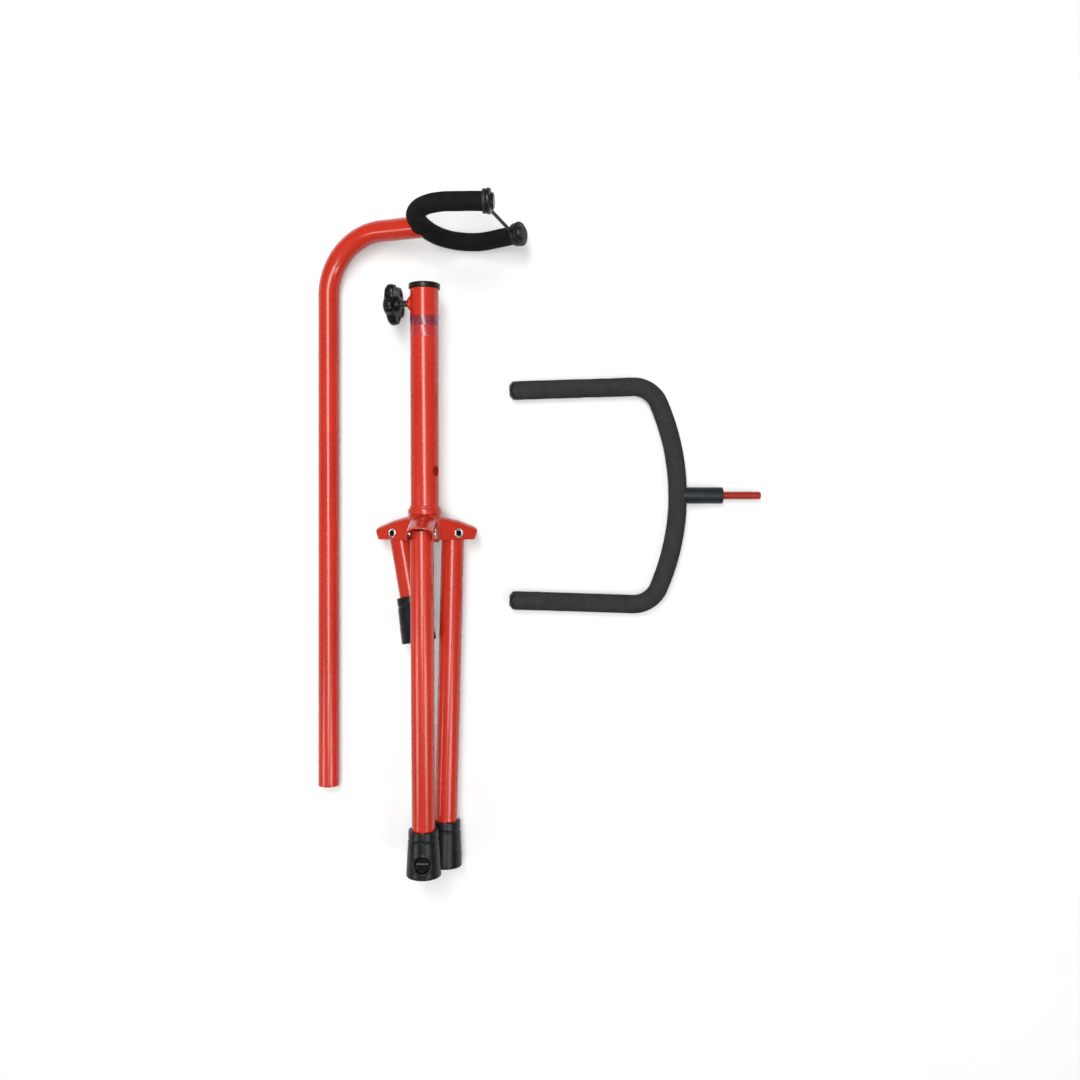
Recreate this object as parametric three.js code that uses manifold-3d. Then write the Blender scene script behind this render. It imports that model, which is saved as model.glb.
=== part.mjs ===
// A knock-down tubular instrument stand, laid out flat as a kit of three loose pieces:
// the neck piece (bent upper tube with its padded yoke), the folded tripod base, and the
// padded lower cradle. Millimetres, +Z up, the floor at Z = 0, the origin in the middle
// of the kit's footprint. The tubes lie along Y.

import * as THREE from 'three';
import { mergeVertices } from 'three/addons/utils/BufferGeometryUtils.js';
import Module from 'manifold-3d';

const wasm = await Module();
wasm.setup();

// ---------------------------------------------------------------- driving dimensions

const GAP = 0.3; // clearance between touching pieces
const DEG = Math.PI / 180;

// Main tube and what sits on it. In the base's own frame +Z runs up the tube and the
// leg pivots lie at Z = 0.
const MAIN_D = 25.4;
const MAIN_WALL = 1.2;
const MAIN_TOP = 216.6;
const MAIN_BOTTOM = -8;
const CAP_D = 28;
const CAP_HEIGHT = 5;
const BUSHING_DEPTH = 36;
const PIN_HOLE_D = 9;
const PIN_HOLE_HEIGHT = 55.2;
const COLLAR_D = 30;
const COLLAR_BASE = 16.7;
const COLLAR_HEIGHT = 5.2;

// Clamp screw with its lobed knob, level with the bushing.
const CLAMP_HEIGHT = 204.7;
const CLAMP_AZIMUTH = 167 * DEG;
const SCREW_D = 6;
const SCREW_TIP = 10.1; // distance of the screw's tip from the tube's axis
const SCREW_LENGTH = 23.5;
const BOSS_BASE_D = 14;
const BOSS_TIP_D = 7.6;
const BOSS_REACH = 15.6;
const KNOB_D = 37.4;
const KNOB_LOBES = 5;
const KNOB_LOBE_DEPTH = 4.2;
const KNOB_INNER_FACE = 24.5; // distance of the lobes' inner face from the tube's axis
const KNOB_THICKNESS = 9;
const KNOB_HUB_D = 15;
const KNOB_HUB_REACH = 2.6;

// Folding legs: three arched channels round the hub, each holding a leg on a hollow rivet.
const LEG_D = 20.5;
const LEG_WALL = 1.1;
const LEG_EYE_D = 12.2; // the tube's end is rounded about the rivet so that it can swing
const LEG_SHOULDER = 2.6; // height of the end's shoulders above the rivet's middle
const PIVOT_RADIUS = 27.6;
const CHANNEL_SHEET = 1.2;
const CHANNEL_REACH = 48;
const CHANNEL_BOTTOM = -6;
const CHANNEL_CREST = 17.4; // height of the arch's crest on the tube's axis
const CHANNEL_SLOPE = 0.06; // the crest falls away outwards, ever more steeply
const CHANNEL_CURVE = 0.00383;
const CHANNEL_ARCH = 6; // rise of the rounded top above the straight sides
const CHANNEL_TIP_CUT = 4.5; // the tip is cut back underneath by this much
const CHANNEL_TIP_RISE = 11; // over this height
const PAST_HUB = 60; // reaches past the whole hub, for the solids that shape it
const HUB_SLEEVE_D = 29.6;
const RIVET_D = 6;
const RIVET_BORE = 4.4;
const RIVET_HEAD_D = 9.2;
const RIVET_HEAD_HEIGHT = 1.1;
const LONG_LEG = 302.5;
const SHORT_LEG = 100;
const LONG_LEG_LEAN = 1.7 * DEG; // folded legs lean in towards the tube's line
const SHORT_LEG_LEAN = 12 * DEG;
const FOOT_LENGTH = 41.5;
const FOOT_TOP_D = 26.4;
const FOOT_END_D = 31.4;
const FOOT_SOLE = 4;
const FOOT_RECESS_D = 14.5;
const FOOT_RECESS_DEPTH = 2.4;
const FOOT_RECESS_HEIGHT = 13.5;

const LEFT_LEG_AZIMUTH = -90 * DEG;
const RIGHT_LEG_AZIMUTH = 30 * DEG;
const REAR_LEG_AZIMUTH = 150 * DEG;

// Neck piece. In its own frame +Z runs up the tube and the bend leads towards +X.
const NECK_D = 19.05;
const NECK_WALL = 1.2;
const NECK_STRAIGHT = 448.5;
const NECK_BEND_RADIUS = 54;
const NECK_BEND_ANGLE = 90 * DEG;
const NECK_REACH = 95; // from the tube's axis to the middle of the yoke's back
const YOKE = { backRadius: 75, cornerRadius: 36, halfWidth: 46, toe: 14 * DEG, arm: 31 };
const YOKE_TILT = -6 * DEG;
const YOKE_ROD_D = 8;
const YOKE_FOAM_D = 16.2;
const YOKE_STEM_D = 10;
const YOKE_STEM_DEPTH = 26;
const YOKE_FLANGE_D = 21.6;
const YOKE_CAP_LENGTH = 6.2;
const STRAP_RING_D = 20.4;
const STRAP_RING_WIDTH = 3.4;
const STRAP_CORD_D = 3.6;

// Cradle, a padded U with a stem that ends in the pin for the main tube.
const CRADLE = { backRadius: 213, cornerRadius: 25, halfWidth: 99.6, toe: 1.8 * DEG, arm: 109 };
const CRADLE_ROD_D = 8;
const CRADLE_FOAM_D = 17;
const CRADLE_CAP_LENGTH = 4;
const STEM_SLEEVE_D = 15;
const STEM_SLEEVE_END = 41; // from the middle of the U's back
const PIN_D = 7;
const PIN_END = 76;

// How the three pieces lie on the floor.
const BASE_AXIS_HEIGHT = 33.2;
const BASE_TILT = 1.57 * DEG; // the feet end hangs a little lower
const NECK_ROLL = 19.4 * DEG; // the neck piece leans over until its yoke touches the floor
const NECK_OFFSET = -90.5; // neck tube's axis from the base's axis, along X
const NECK_END = -230.8; // neck tube's open end from the leg pivots, along Y
const CRADLE_BACK = 229; // middle of the cradle's back from the base's axis, along X
const CRADLE_SHIFT = 34.7; // and from the leg pivots, along Y

const FINE = 24; // sides of the larger round sections
const ROUND = 14;
const SMALL = 10;

// ---------------------------------------------------------------- materials

const redPaint = () => new THREE.MeshStandardMaterial({ color: 0xb9301f, roughness: 0.3, metalness: 0.1 });
const foam = () => new THREE.MeshStandardMaterial({ color: 0x2a2a2b, roughness: 0.95, metalness: 0 });
const blackPlastic = () => new THREE.MeshStandardMaterial({ color: 0x18181a, roughness: 0.5, metalness: 0 });
const blackRubber = () => new THREE.MeshStandardMaterial({ color: 0x26282a, roughness: 0.75, metalness: 0 });
const bareSteel = () => new THREE.MeshStandardMaterial({ color: 0xb4b6b8, roughness: 0.35, metalness: 1 });

// ---------------------------------------------------------------- solids

// Position-only, welded copy of a geometry, without triangles that closed up to a line.
function welded(geometry) {
  const bare = geometry.clone();
  bare.deleteAttribute('normal');
  bare.deleteAttribute('uv');
  const merged = mergeVertices(bare);
  const corners = merged.index.array;
  const kept = [];
  for (let i = 0; i < corners.length; i += 3) {
    const [a, b, c] = [corners[i], corners[i + 1], corners[i + 2]];
    if (a !== b && b !== c && c !== a) kept.push(a, b, c);
  }
  merged.setIndex(kept);
  return merged;
}

function toManifold(geometry) {
  const closed = welded(geometry);
  return new wasm.Manifold(new wasm.Mesh({
    numProp: 3,
    vertProperties: new Float32Array(closed.attributes.position.array),
    triVerts: new Uint32Array(closed.index.array),
  }));
}

function fromManifold(manifold) {
  const mesh = manifold.getMesh();
  const geometry = new THREE.BufferGeometry();
  geometry.setAttribute('position', new THREE.BufferAttribute(mesh.vertProperties, 3));
  geometry.setIndex(new THREE.BufferAttribute(mesh.triVerts, 1));
  geometry.computeVertexNormals();
  return geometry;
}

function combined(base, others, operation) {
  let result = toManifold(base);
  for (const other of others) result = result[operation](toManifold(other));
  return fromManifold(result);
}

const cut = (base, ...tools) => combined(base, tools, 'subtract');
const join = (base, ...extras) => combined(base, extras, 'add');
const common = (base, ...others) => combined(base, others, 'intersect');

// Solid of revolution about Z from an anticlockwise outline of [radius, height] points.
function turned(outline, sides) {
  const points = outline.map(([radius, height]) => new THREE.Vector2(radius, height));
  return new THREE.LatheGeometry(points, sides).rotateX(Math.PI / 2);
}

function rod(radius, from, to, sides) {
  return turned([[0, from], [radius, from], [radius, to], [0, to]], sides);
}

function ring(inner, outer, from, to, sides) {
  return turned([[inner, from], [outer, from], [outer, to], [inner, to], [inner, from]], sides);
}

// Turns a shape built along +Z so that it points outwards at an azimuth, at a height.
function radial(geometry, azimuth, height) {
  return geometry.rotateY(Math.PI / 2).rotateZ(azimuth).translate(0, 0, height);
}

function box(x0, x1, y0, y1, z0, z1) {
  const shape = new THREE.BoxGeometry(x1 - x0, y1 - y0, z1 - z0);
  return shape.translate((x0 + x1) / 2, (y0 + y1) / 2, (z0 + z1) / 2);
}

// ---------------------------------------------------------------- routes of bent tubes

// A route through given stations, each with its own direction, so that straight runs take
// one step and bends take several.
class Route extends THREE.Curve {
  constructor() {
    super();
    this.stations = [];
  }

  go(point, direction) {
    this.stations.push({ point: point.clone(), direction: direction.clone().normalize() });
    return this;
  }

  get steps() {
    return this.stations.length - 1;
  }

  getSpacedPoints() {
    return this.stations.map((station) => station.point);
  }

  getTangentAt(fraction) {
    return this.stations[Math.round(fraction * this.steps)].direction.clone();
  }
}

// Adds an arc in the XY plane to a list of {point, heading}, turning from one polar angle
// to another about a centre.
function arcStations(route, centre, radius, from, to, steps) {
  const turn = Math.sign(to - from);
  for (let i = 0; i <= steps; i += 1) {
    const angle = from + ((to - from) * i) / steps;
    const point = new THREE.Vector3(Math.cos(angle), Math.sin(angle), 0);
    const direction = new THREE.Vector3(-Math.sin(angle), Math.cos(angle), 0);
    route.go(point.multiplyScalar(radius).add(centre), direction.multiplyScalar(turn));
  }
}

// Middle line of a U lying in the XY plane. The middle of its back is at the origin and
// its arms run towards -X, toed in a little. `extra` lengthens both arms.
function uRoute({ backRadius, cornerRadius, halfWidth, toe, arm }, extra = 0) {
  const rise = halfWidth - cornerRadius;
  const backAngle = Math.asin(rise / (backRadius - cornerRadius));
  const cornerX = -backRadius + (backRadius - cornerRadius) * Math.cos(backAngle);
  const endAngle = Math.PI / 2 + toe;
  const length = arm + extra;
  const route = new Route();
  const lower = new THREE.Vector3(cornerX, -rise, 0);
  const upper = new THREE.Vector3(cornerX, rise, 0);
  const backCentre = new THREE.Vector3(-backRadius, 0, 0);
  const heading = new THREE.Vector3(Math.cos(toe), -Math.sin(toe), 0);
  const start = new THREE.Vector3(Math.cos(-endAngle), Math.sin(-endAngle), 0);
  start.multiplyScalar(cornerRadius).add(lower);
  route.go(start.clone().addScaledVector(heading, -length), heading);
  arcStations(route, lower, cornerRadius, -endAngle, -backAngle, 7);
  route.stations.pop();
  arcStations(route, backCentre, backRadius, -backAngle, backAngle, 5);
  route.stations.pop();
  arcStations(route, upper, cornerRadius, backAngle, endAngle, 7);
  const last = route.stations[route.stations.length - 1];
  route.go(last.point.clone().addScaledVector(last.direction, length), last.direction);
  return route;
}

// A bar, or a tube if it has a bore, along a route.
function swept(route, diameter, bore, sides) {
  const section = new THREE.Shape();
  section.absarc(0, 0, diameter / 2, 0, 2 * Math.PI);
  if (bore > 0) {
    const hole = new THREE.Path();
    hole.absarc(0, 0, bore / 2, 0, 2 * Math.PI, true);
    section.holes.push(hole);
  }
  return new THREE.ExtrudeGeometry(section, {
    steps: route.steps,
    curveSegments: sides / 2,
    extrudePath: route,
    bevelEnabled: false,
  });
}

// Moves a shape built along +Z to one end of a route, pointing out of it.
function atEnd(geometry, station, outwards) {
  const direction = station.direction.clone().multiplyScalar(outwards);
  const turn = new THREE.Quaternion().setFromUnitVectors(new THREE.Vector3(0, 0, 1), direction);
  return geometry.applyQuaternion(turn).translate(...station.point.toArray());
}

// ---------------------------------------------------------------- scene graph

function node(name, geometry, material) {
  const mesh = new THREE.Mesh(geometry, material);
  mesh.name = name;
  return mesh;
}

const kit = new THREE.Group();
const base = new THREE.Group();
const neckPiece = new THREE.Group();
const cradle = new THREE.Group();
kit.add(base, neckPiece, cradle);

// ---------------------------------------------------------------- main tube

const mainRadius = MAIN_D / 2;
const mainBore = mainRadius - MAIN_WALL;
const pinAzimuth = REAR_LEG_AZIMUTH + Math.PI;

function mainTube() {
  const tube = ring(mainBore, mainRadius, MAIN_BOTTOM, MAIN_TOP, FINE);
  const pinHole = radial(rod(PIN_HOLE_D / 2, -MAIN_D, MAIN_D, ROUND), pinAzimuth, PIN_HOLE_HEIGHT);
  const clampHole = radial(rod(SCREW_D / 2 + 1, 0, MAIN_D, SMALL), CLAMP_AZIMUTH, CLAMP_HEIGHT);
  return cut(tube, pinHole, clampHole);
}

function topBushing() {
  const bore = NECK_D / 2 + 0.35;
  const sleeve = mainBore - GAP;
  const seat = MAIN_TOP + GAP;
  const top = MAIN_TOP + CAP_HEIGHT;
  const rim = CAP_D / 2;
  const bushing = turned([
    [bore, MAIN_TOP - BUSHING_DEPTH], [sleeve, MAIN_TOP - BUSHING_DEPTH], [sleeve, seat],
    [rim, seat], [rim, top - 1.4], [rim - 0.4, top - 0.4], [rim - 1.4, top],
    [bore + 0.8, top], [bore, top - 0.8], [bore, MAIN_TOP - BUSHING_DEPTH],
  ], FINE);
  const screwHole = radial(rod(SCREW_D / 2 + 0.5, 0, MAIN_D, SMALL), CLAMP_AZIMUTH, CLAMP_HEIGHT);
  return cut(bushing, screwHole);
}

function hubCollar() {
  const inner = mainRadius + GAP;
  const outer = COLLAR_D / 2;
  const top = COLLAR_BASE + COLLAR_HEIGHT;
  return turned([
    [inner, COLLAR_BASE], [outer - 0.8, COLLAR_BASE], [outer, COLLAR_BASE + 0.8],
    [outer, top - 1.6], [outer - 0.5, top - 0.5], [outer - 1.6, top], [inner, top],
    [inner, COLLAR_BASE],
  ], FINE);
}

base.add(
  node('main_tube', mainTube(), redPaint()),
  node('top_bushing', topBushing(), blackPlastic()),
  node('hub_collar', hubCollar(), redPaint()),
);

// ---------------------------------------------------------------- clamp

function clampBoss() {
  const bore = SCREW_D / 2 + GAP;
  const cone = turned([
    [bore, 0], [BOSS_BASE_D / 2, 0], [BOSS_BASE_D / 2, mainRadius + 0.6],
    [BOSS_TIP_D / 2, BOSS_REACH], [bore, BOSS_REACH], [bore, 0],
  ], ROUND);
  const tube = rod(mainRadius + GAP, -MAIN_D, MAIN_D, FINE).translate(0, 0, CLAMP_HEIGHT);
  return cut(radial(cone, CLAMP_AZIMUTH, CLAMP_HEIGHT), tube);
}

function clampScrew() {
  const end = SCREW_TIP + SCREW_LENGTH;
  const radius = SCREW_D / 2;
  const stud = turned([
    [0, SCREW_TIP], [radius - 0.8, SCREW_TIP], [radius, SCREW_TIP + 0.8],
    [radius, end], [0, end],
  ], SMALL);
  return radial(stud, CLAMP_AZIMUTH, CLAMP_HEIGHT);
}

function clampKnob() {
  const bevel = 1.8;
  const mean = KNOB_D / 2 - KNOB_LOBE_DEPTH / 2 - bevel;
  const outline = [];
  const points = KNOB_LOBES * 8;
  for (let i = 0; i < points; i += 1) {
    const angle = (2 * Math.PI * i) / points;
    const reach = mean + (KNOB_LOBE_DEPTH / 2) * Math.cos(KNOB_LOBES * angle);
    outline.push(new THREE.Vector2(reach * Math.cos(angle), reach * Math.sin(angle)));
  }
  const disc = new THREE.ExtrudeGeometry(new THREE.Shape(outline), {
    depth: KNOB_THICKNESS - 2 * bevel,
    bevelSize: bevel,
    bevelThickness: bevel,
    bevelSegments: 2,
    steps: 1,
  }).translate(0, 0, KNOB_INNER_FACE + bevel);
  const hub = turned([
    [0, KNOB_INNER_FACE - KNOB_HUB_REACH], [KNOB_HUB_D / 2 - 2, KNOB_INNER_FACE - KNOB_HUB_REACH],
    [KNOB_HUB_D / 2, KNOB_INNER_FACE + 2], [0, KNOB_INNER_FACE + 2],
  ], ROUND);
  const bore = rod(SCREW_D / 2 + GAP, 0, SCREW_TIP + SCREW_LENGTH + GAP, SMALL);
  return radial(cut(join(disc, hub), bore), CLAMP_AZIMUTH, CLAMP_HEIGHT);
}

base.add(
  node('clamp_boss', clampBoss(), redPaint()),
  node('clamp_screw', clampScrew(), bareSteel()),
  node('clamp_knob', clampKnob(), blackPlastic()),
);

// ---------------------------------------------------------------- hub and rivets

const legRadius = LEG_D / 2;
const channelInner = legRadius + GAP;
const channelOuter = channelInner + CHANNEL_SHEET;

// Arched channel leading outwards along +X, solid from its bottom edges to the arch.
function arch(halfWidth, crest, from, to) {
  const profile = new THREE.Shape();
  profile.moveTo(-halfWidth, -PAST_HUB);
  profile.lineTo(halfWidth, -PAST_HUB);
  profile.lineTo(halfWidth, crest - CHANNEL_ARCH);
  profile.absellipse(0, crest - CHANNEL_ARCH, halfWidth, CHANNEL_ARCH, 0, Math.PI);
  const length = to - from;
  const shape = new THREE.ExtrudeGeometry(profile, {
    depth: length, steps: 4, curveSegments: 5, bevelEnabled: false,
  });
  shape.rotateX(Math.PI / 2).rotateZ(Math.PI / 2).translate(from, 0, 0);
  const position = shape.attributes.position;
  for (let i = 0; i < position.count; i += 1) {
    const x = position.getX(i);
    position.setZ(i, position.getZ(i) - CHANNEL_SLOPE * x - CHANNEL_CURVE * x * x);
  }
  return shape;
}

// Side view of a channel: its bottom edges are level and its tip is cut back underneath.
function channelOutline(width) {
  const outline = new THREE.Shape();
  outline.moveTo(0, CHANNEL_BOTTOM);
  outline.lineTo(CHANNEL_REACH - CHANNEL_TIP_CUT, CHANNEL_BOTTOM);
  outline.lineTo(CHANNEL_REACH, CHANNEL_BOTTOM + CHANNEL_TIP_RISE);
  outline.lineTo(CHANNEL_REACH, PAST_HUB);
  outline.lineTo(0, PAST_HUB);
  const slab = new THREE.ExtrudeGeometry(outline, { depth: 2 * width, bevelEnabled: false });
  return slab.rotateX(Math.PI / 2).translate(0, width, 0);
}

function acrossPivot(geometry, azimuth) {
  return geometry.rotateX(Math.PI / 2).translate(PIVOT_RADIUS, 0, 0).rotateZ(azimuth);
}

function legHub() {
  const legAzimuths = [LEFT_LEG_AZIMUTH, RIGHT_LEG_AZIMUTH, REAR_LEG_AZIMUTH];
  const sleeve = ring(mainRadius + GAP, HUB_SLEEVE_D / 2, CHANNEL_BOTTOM, COLLAR_BASE - GAP, FINE);
  const aboveHub = rod(PAST_HUB, COLLAR_BASE - GAP, PAST_HUB, FINE);
  const solids = [];
  const hollows = [rod(mainRadius + GAP, -PAST_HUB, PAST_HUB, FINE), aboveHub];
  for (const azimuth of legAzimuths) {
    const outside = arch(channelOuter, CHANNEL_CREST, 0, PAST_HUB);
    const inside = arch(channelInner, CHANNEL_CREST - CHANNEL_SHEET, 0, PAST_HUB + 1);
    solids.push(common(outside, channelOutline(PAST_HUB / 2)).rotateZ(azimuth));
    hollows.push(inside.rotateZ(azimuth));
    hollows.push(acrossPivot(rod(RIVET_D / 2 + GAP, -LEG_D, LEG_D, SMALL), azimuth));
  }
  return join(cut(join(...solids), ...hollows), sleeve);
}

function rivet() {
  const seat = channelOuter + GAP;
  const face = seat + RIVET_HEAD_HEIGHT;
  const [bore, shank, head] = [RIVET_BORE / 2, RIVET_D / 2, RIVET_HEAD_D / 2];
  return turned([
    [bore, -face], [head - 0.6, -face], [head, -face + 0.6], [head, -seat], [shank, -seat],
    [shank, seat], [head, seat], [head, face - 0.6], [head - 0.6, face], [bore, face],
    [bore, -face],
  ], ROUND);
}

base.add(
  node('leg_hub', legHub(), redPaint()),
  node('left_rivet', acrossPivot(rivet(), LEFT_LEG_AZIMUTH), bareSteel()),
  node('right_rivet', acrossPivot(rivet(), RIGHT_LEG_AZIMUTH), bareSteel()),
  node('rear_rivet', acrossPivot(rivet(), REAR_LEG_AZIMUTH), bareSteel()),
);

// ---------------------------------------------------------------- legs and feet

// A leg hangs from its rivet along -Z, with its outer side towards +X.
function legTube(length) {
  const end = -length + FOOT_SOLE + GAP;
  const tube = ring(legRadius - LEG_WALL, legRadius, end, legRadius, ROUND + 6);
  const eyeEnd = rod(LEG_EYE_D / 2, -LEG_D, LEG_D, ROUND + 6).rotateX(Math.PI / 2);
  const below = box(-LEG_D, LEG_D, -LEG_D, LEG_D, -length, LEG_SHOULDER);
  const rivetHole = rod(RIVET_D / 2 + GAP, -LEG_D, LEG_D, SMALL).rotateX(Math.PI / 2);
  return cut(common(tube, join(below, eyeEnd)), rivetHole);
}

function foot(length) {
  const pocket = legRadius + GAP;
  const top = -length + FOOT_LENGTH;
  const [rim, sole] = [FOOT_TOP_D / 2, FOOT_END_D / 2];
  const cup = turned([
    [0, -length], [sole - 3, -length], [sole - 0.9, -length + 0.9], [sole, -length + 3],
    [rim + 0.5, top - 9], [rim - 0.3, top - 8], [rim - 0.3, top - 7], [rim + 0.3, top - 6],
    [rim + 0.1, top - 3], [rim, top - 0.6], [rim - 0.6, top], [pocket, top],
    [pocket, -length + FOOT_SOLE], [0, -length + FOOT_SOLE],
  ], FINE);
  const recessFloor = (rim + sole) / 2 + 0.4 - FOOT_RECESS_DEPTH;
  const recess = rod(FOOT_RECESS_D / 2, recessFloor, 2 * sole, ROUND);
  return cut(cup, recess.rotateY(Math.PI / 2).translate(0, 0, -length + FOOT_RECESS_HEIGHT));
}

function addLeg(name, length, azimuth, lean) {
  const swing = new THREE.Group();
  const mount = new THREE.Group();
  swing.position.x = PIVOT_RADIUS;
  swing.rotation.y = lean;
  mount.rotation.z = azimuth;
  swing.add(
    node(`${name}_leg`, legTube(length), redPaint()),
    node(`${name}_foot`, foot(length), blackRubber()),
  );
  mount.add(swing);
  base.add(mount);
}

addLeg('left', LONG_LEG, LEFT_LEG_AZIMUTH, LONG_LEG_LEAN);
addLeg('right', LONG_LEG, RIGHT_LEG_AZIMUTH, LONG_LEG_LEAN);
addLeg('rear', SHORT_LEG, REAR_LEG_AZIMUTH, SHORT_LEG_LEAN);

// ---------------------------------------------------------------- neck piece

const yokeRoute = uRoute(YOKE);
const yokeRodRoute = uRoute(YOKE, YOKE_CAP_LENGTH - 2);
const yokeEnds = [
  { station: yokeRoute.stations[0], outwards: -1 },
  { station: yokeRoute.stations[yokeRoute.steps], outwards: 1 },
];

// The yoke is built with its back at the origin and its arms towards -X, then turned to
// face away from the tube, tilted about the bent end's line.
const bendEnd = new THREE.Vector3(
  NECK_BEND_RADIUS * (1 - Math.cos(NECK_BEND_ANGLE)),
  0,
  NECK_STRAIGHT + NECK_BEND_RADIUS * Math.sin(NECK_BEND_ANGLE),
);
const bentDirection = new THREE.Vector3(Math.sin(NECK_BEND_ANGLE), 0, Math.cos(NECK_BEND_ANGLE));
const bentLength = (NECK_REACH - bendEnd.x) / bentDirection.x;
const yokePlace = new THREE.Matrix4()
  .makeTranslation(bendEnd.clone().addScaledVector(bentDirection, bentLength))
  .multiply(new THREE.Matrix4().makeRotationY(NECK_BEND_ANGLE - Math.PI / 2))
  .multiply(new THREE.Matrix4().makeRotationX(YOKE_TILT))
  .multiply(new THREE.Matrix4().makeRotationZ(Math.PI));

const placedYoke = (geometry) => geometry.applyMatrix4(yokePlace);

function neckTube() {
  const route = new Route();
  const up = new THREE.Vector3(0, 0, 1);
  route.go(new THREE.Vector3(0, 0, 0), up);
  const steps = 14;
  for (let i = 0; i <= steps; i += 1) {
    const angle = (NECK_BEND_ANGLE * i) / steps;
    const point = new THREE.Vector3(1 - Math.cos(angle), 0, Math.sin(angle));
    point.multiplyScalar(NECK_BEND_RADIUS).add(new THREE.Vector3(0, 0, NECK_STRAIGHT));
    route.go(point, new THREE.Vector3(Math.sin(angle), 0, Math.cos(angle)));
  }
  route.go(bendEnd.clone().addScaledVector(bentDirection, bentLength), bentDirection);
  const tube = swept(route, NECK_D, NECK_D - 2 * NECK_WALL, ROUND);
  const cope = placedYoke(swept(yokeRoute, YOKE_FOAM_D + 2 * GAP, 0, ROUND));
  return cut(tube, cope);
}

// Steel plug pressed into the bent end; its spigot passes through the foam to the rod.
function yokeStem() {
  const plug = NECK_D / 2 - NECK_WALL - GAP;
  const back = YOKE_FOAM_D / 2 + 1.5;
  const stem = turned([
    [0, 0], [YOKE_STEM_D / 2, 0], [YOKE_STEM_D / 2, back], [plug, back],
    [plug, YOKE_STEM_DEPTH], [0, YOKE_STEM_DEPTH],
  ], ROUND).rotateY(Math.PI / 2);
  return placedYoke(cut(stem, swept(yokeRoute, YOKE_ROD_D + 2 * GAP, 0, SMALL)));
}

function yokeFoam() {
  const sleeve = swept(yokeRoute, YOKE_FOAM_D, YOKE_ROD_D + 2 * GAP, ROUND);
  const opening = rod(YOKE_STEM_D / 2 + GAP, 0, YOKE_FOAM_D, ROUND).rotateY(Math.PI / 2);
  return placedYoke(cut(sleeve, opening));
}

function yokeCap({ station, outwards }) {
  const bore = YOKE_ROD_D / 2 + GAP;
  const rodEnd = YOKE_CAP_LENGTH - 2 + GAP;
  const rim = YOKE_FLANGE_D / 2;
  const cap = turned([
    [bore, GAP], [rim - 0.8, GAP], [rim, GAP + 0.8], [rim, 2.6], [rim - 0.8, 3.4],
    [rim - 3.6, YOKE_CAP_LENGTH - 0.6], [rim - 5.6, YOKE_CAP_LENGTH], [0, YOKE_CAP_LENGTH],
    [0, rodEnd], [bore, rodEnd], [bore, GAP],
  ], ROUND);
  return placedYoke(atEnd(cap, station, outwards));
}

// Rubber strap that closes the yoke: a ring round each arm just behind its end cap and a
// round cord from ring to ring.
function securityStrap() {
  const inner = YOKE_FOAM_D / 2 + GAP;
  const outer = STRAP_RING_D / 2;
  const rings = yokeEnds.map(({ station, outwards }) => {
    const band = ring(inner, outer, -STRAP_RING_WIDTH, 0, ROUND);
    return atEnd(band, station, outwards);
  });
  // The cord meets each ring at the point that faces the other arm.
  const { station } = yokeEnds[1];
  const root = new THREE.Vector3(Math.sin(YOKE.toe), -Math.cos(YOKE.toe), 0);
  root.multiplyScalar((inner + outer) / 2).add(station.point);
  root.addScaledVector(station.direction, -STRAP_RING_WIDTH / 2);
  const cord = rod(STRAP_CORD_D / 2, -root.y, root.y, SMALL).rotateX(Math.PI / 2);
  cord.translate(root.x, 0, 0);
  return placedYoke(join(rings[0], rings[1], cord));
}

neckPiece.add(
  node('neck_tube', neckTube(), redPaint()),
  node('yoke_stem', yokeStem(), bareSteel()),
  node('yoke_rod', placedYoke(swept(yokeRodRoute, YOKE_ROD_D, 0, SMALL)), bareSteel()),
  node('yoke_foam', yokeFoam(), foam()),
  node('yoke_cap_lower', yokeCap(yokeEnds[0]), blackPlastic()),
  node('yoke_cap_upper', yokeCap(yokeEnds[1]), blackPlastic()),
  node('security_strap', securityStrap(), blackRubber()),
);

// ---------------------------------------------------------------- cradle

const cradleRoute = uRoute(CRADLE);
const cradleRodRoute = uRoute(CRADLE, CRADLE_CAP_LENGTH - 1.5);
const cradleEnds = [
  { station: cradleRoute.stations[0], outwards: -1 },
  { station: cradleRoute.stations[cradleRoute.steps], outwards: 1 },
];

function cradlePin() {
  const radius = PIN_D / 2;
  const pin = turned([
    [0, 0], [radius, 0], [radius, PIN_END - 2], [radius - 0.6, PIN_END - 0.6],
    [radius - 2, PIN_END], [0, PIN_END],
  ], SMALL).rotateY(Math.PI / 2);
  return cut(pin, swept(cradleRoute, CRADLE_ROD_D + 2 * GAP, 0, SMALL));
}

function cradleFoam() {
  const sleeve = swept(cradleRoute, CRADLE_FOAM_D, CRADLE_ROD_D + 2 * GAP, ROUND);
  const opening = rod(PIN_D / 2 + GAP, 0, CRADLE_FOAM_D, ROUND).rotateY(Math.PI / 2);
  return cut(sleeve, opening);
}

function stemSleeve() {
  const bore = PIN_D / 2 + GAP;
  const outer = STEM_SLEEVE_D / 2;
  const sleeve = turned([
    [bore, 0], [outer, 0], [outer, STEM_SLEEVE_END - 0.8], [outer - 0.8, STEM_SLEEVE_END],
    [bore, STEM_SLEEVE_END], [bore, 0],
  ], ROUND).rotateY(Math.PI / 2);
  return cut(sleeve, swept(cradleRoute, CRADLE_FOAM_D + 2 * GAP, 0, ROUND));
}

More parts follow.
